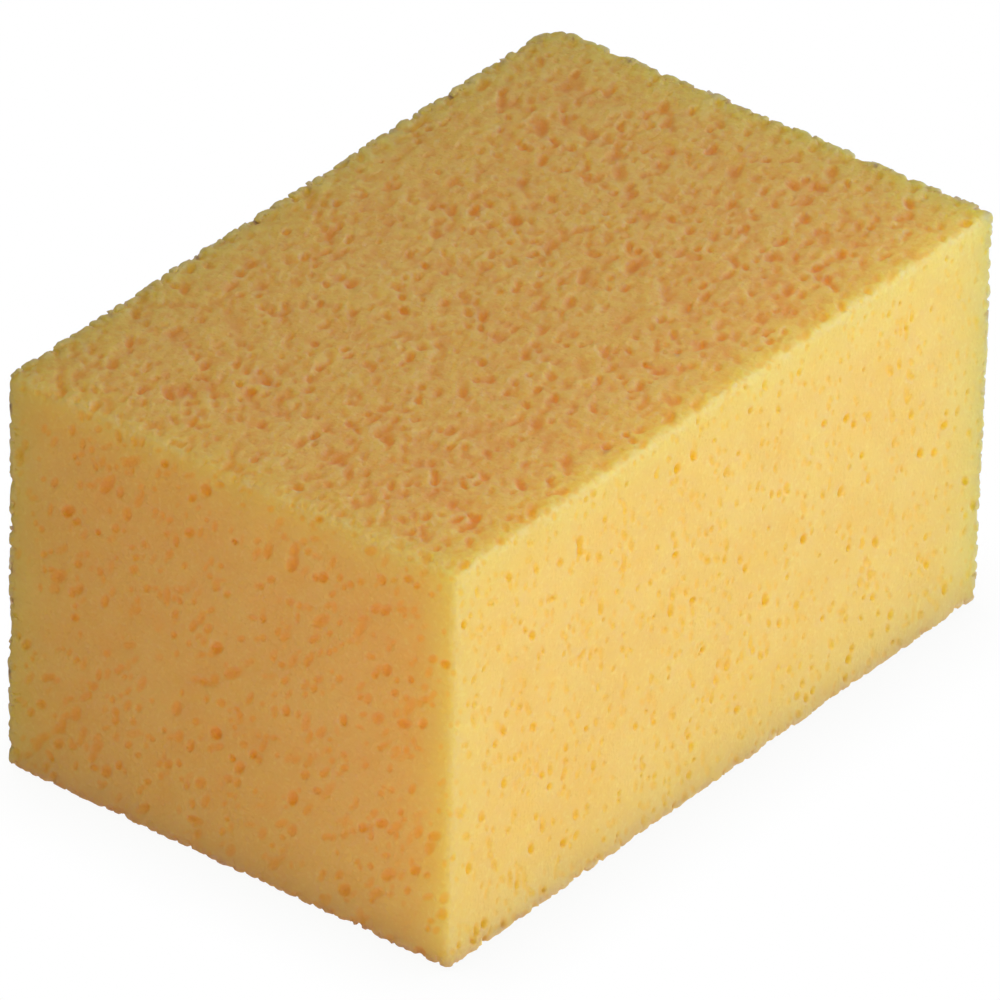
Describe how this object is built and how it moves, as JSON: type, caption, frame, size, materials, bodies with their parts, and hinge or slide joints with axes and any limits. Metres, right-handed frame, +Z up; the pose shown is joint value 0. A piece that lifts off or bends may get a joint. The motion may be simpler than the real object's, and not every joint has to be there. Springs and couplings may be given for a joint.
{
  "type": "foam sponge block",
  "caption": "Rectangular block of yellow open-cell foam sponge with softly worn edges, held in the hand to dab, wipe or spread a finish.",
  "frame": {"origin": "centre of the base, which is the large face the block rests on", "axes": "+X along the length, +Y along the width, +Z up out of the base; the rounder worn upright corner is at +X +Y"},
  "size_m": [0.16, 0.104, 0.086],
  "materials": {
    "foam": "matte open-cell foam"
  },
  "bodies": {
    "root": {"foam_block": "foam"}
  },
  "joints": []
}
